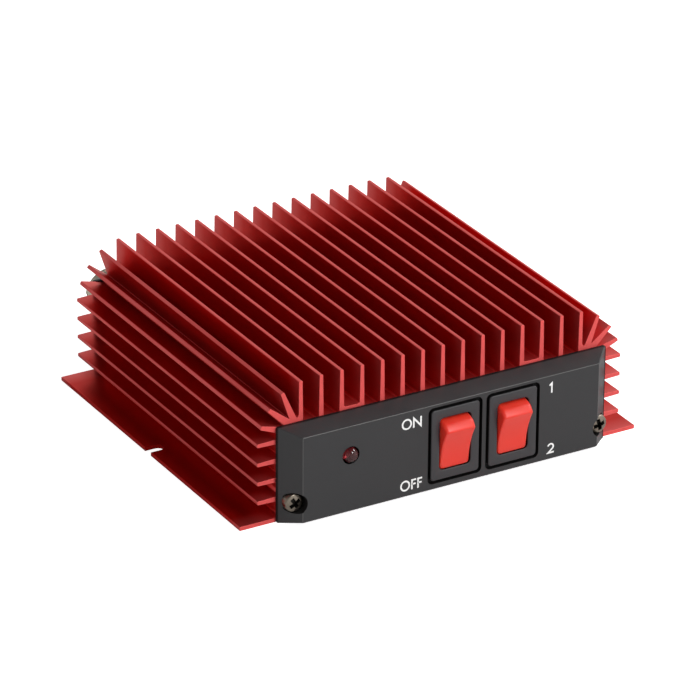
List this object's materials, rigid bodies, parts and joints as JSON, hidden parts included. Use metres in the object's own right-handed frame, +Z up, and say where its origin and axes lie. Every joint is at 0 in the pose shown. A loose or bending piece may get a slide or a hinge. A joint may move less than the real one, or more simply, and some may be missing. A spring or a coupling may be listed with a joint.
{
  "type": "hf linear amplifier",
  "caption": "Low finned aluminium amplifier case with moulded end panels, red rocker switches, an indicator lamp, notched side flanges, rear aerial sockets and the board inside.",
  "frame": {"origin": "bottom centre of the whole object: the middle of its bounding box across and front to rear, on the plane that the flanges rest on", "axes": "+X to the right seen from the front, +Y from the front panel to the rear, +Z up"},
  "size_m": [0.1276, 0.1382, 0.0411],
  "materials": {
    "anodised_red": "deep red anodised, satin",
    "panel_black": "moulded, fine-grained",
    "cover_metal": "plain rolled",
    "screw_steel": "brown-grey plated",
    "switch_black": "moulded, semi-gloss",
    "rocker_red": "moulded, satin",
    "plunger_white": "moulded",
    "spring_steel": "drawn wire",
    "contact_copper": "rolled strip",
    "terminal_brass": "stamped, bright",
    "lens_red": "tinted, clear moulded",
    "tinned": "tinned wire",
    "socket_plate": "nickel plated",
    "socket_insulator": "moulded",
    "grommet_rubber": "moulded",
    "board_green": "solder-masked glass laminate",
    "pillar_brass": "turned",
    "plain_steel": "zinc plated",
    "device_black": "moulded",
    "device_tab": "plated copper",
    "pad_grey": "thin sheet",
    "ferrite": "sintered, matte",
    "wire_white": "extruded sleeve",
    "wire_red": "extruded sleeve",
    "relay_blue": "moulded",
    "sleeve_blue": "shrunk sleeve",
    "disc_brown": "dipped",
    "resistor_beige": "lacquered",
    "trimmer_blue": "moulded"
  },
  "bodies": {
    "case": {"heatsink": "anodised_red", "front_panel": "panel_black", "rear_panel": "panel_black", "bottom_cover": "cover_metal", "front_panel_screws": "screw_steel", "rear_panel_screws": "screw_steel", "power_switch_housing": "switch_black", "power_switch_terminals": "terminal_brass", "mode_switch_housing": "switch_black", "mode_switch_terminals": "terminal_brass", "lamp_lens": "lens_red", "lamp_leads": "tinned", "input_socket_shell": "socket_plate", "input_socket_insulator": "socket_insulator", "input_socket_contact": "terminal_brass", "output_socket_shell": "socket_plate", "output_socket_insulator": "socket_insulator", "output_socket_contact": "terminal_brass", "socket_washers": "socket_plate", "socket_nuts": "socket_plate", "ground_tags": "tinned", "cord_grommet": "grommet_rubber", "circuit_board": "board_green", "board_pillars": "pillar_brass", "board_screws": "plain_steel", "transistor_bodies": "device_black", "transistor_tabs": "device_tab", "transistor_insulators": "pad_grey", "transistor_screws": "plain_steel", "output_transformer_cores": "ferrite", "output_transformer_tubes": "pillar_brass", "output_transformer_winding": "wire_white", "input_transformer_core": "ferrite", "input_transformer_winding": "wire_red", "bypass_relay": "relay_blue", "relay_pins": "tinned", "electrolytic_capacitors": "sleeve_blue", "disc_capacitors": "disc_brown", "resistors": "resistor_beige", "resistor_leads": "tinned", "diode": "device_black", "choke_core": "ferrite", "choke_winding": "contact_copper", "trimmer_base": "trimmer_blue", "supply_posts": "terminal_brass", "switch_wires": "wire_red", "socket_leads": "wire_white"},
    "power_rocker": {"power_rocker": "rocker_red", "power_plunger": "plunger_white", "power_plunger_spring": "spring_steel"},
    "mode_rocker": {"mode_rocker": "rocker_red", "mode_plunger": "plunger_white", "mode_plunger_spring": "spring_steel"},
    "power_contact": {"power_contact_blade": "contact_copper"},
    "mode_contact": {"mode_contact_blade": "contact_copper"},
    "trimmer_rotor": {"trimmer_rotor": "plunger_white"}
  },
  "joints": [
    {"name": "power_rocker_tilt", "type": "hinge", "parent": "case", "child": "power_rocker", "pos_m": [0.0007, -0.06217, 0.01425], "axis": [-1, 0, 0], "range_deg": [0, 36]},
    {"name": "power_contact_tilt", "type": "hinge", "parent": "case", "child": "power_contact", "pos_m": [0.0007, -0.05472, 0.01425], "axis": [-1, 0, 0], "range_deg": [-16, 0]},
    {"name": "mode_rocker_tilt", "type": "hinge", "parent": "case", "child": "mode_rocker", "pos_m": [0.0193, -0.06217, 0.01425], "axis": [-1, 0, 0], "range_deg": [0, 36]},
    {"name": "mode_contact_tilt", "type": "hinge", "parent": "case", "child": "mode_contact", "pos_m": [0.0193, -0.05472, 0.01425], "axis": [-1, 0, 0], "range_deg": [-16, 0]},
    {"name": "trimmer_turn", "type": "hinge", "parent": "case", "child": "trimmer_rotor", "pos_m": [0.037, -0.02277, 0.0167], "axis": [0, 0, 1], "range_deg": [-135, 135]}
  ],
  "couplings": [
    {"joint": "power_contact_tilt", "follows": "power_rocker_tilt", "ratio": -0.4444},
    {"joint": "mode_contact_tilt", "follows": "mode_rocker_tilt", "ratio": -0.4444}
  ]
}
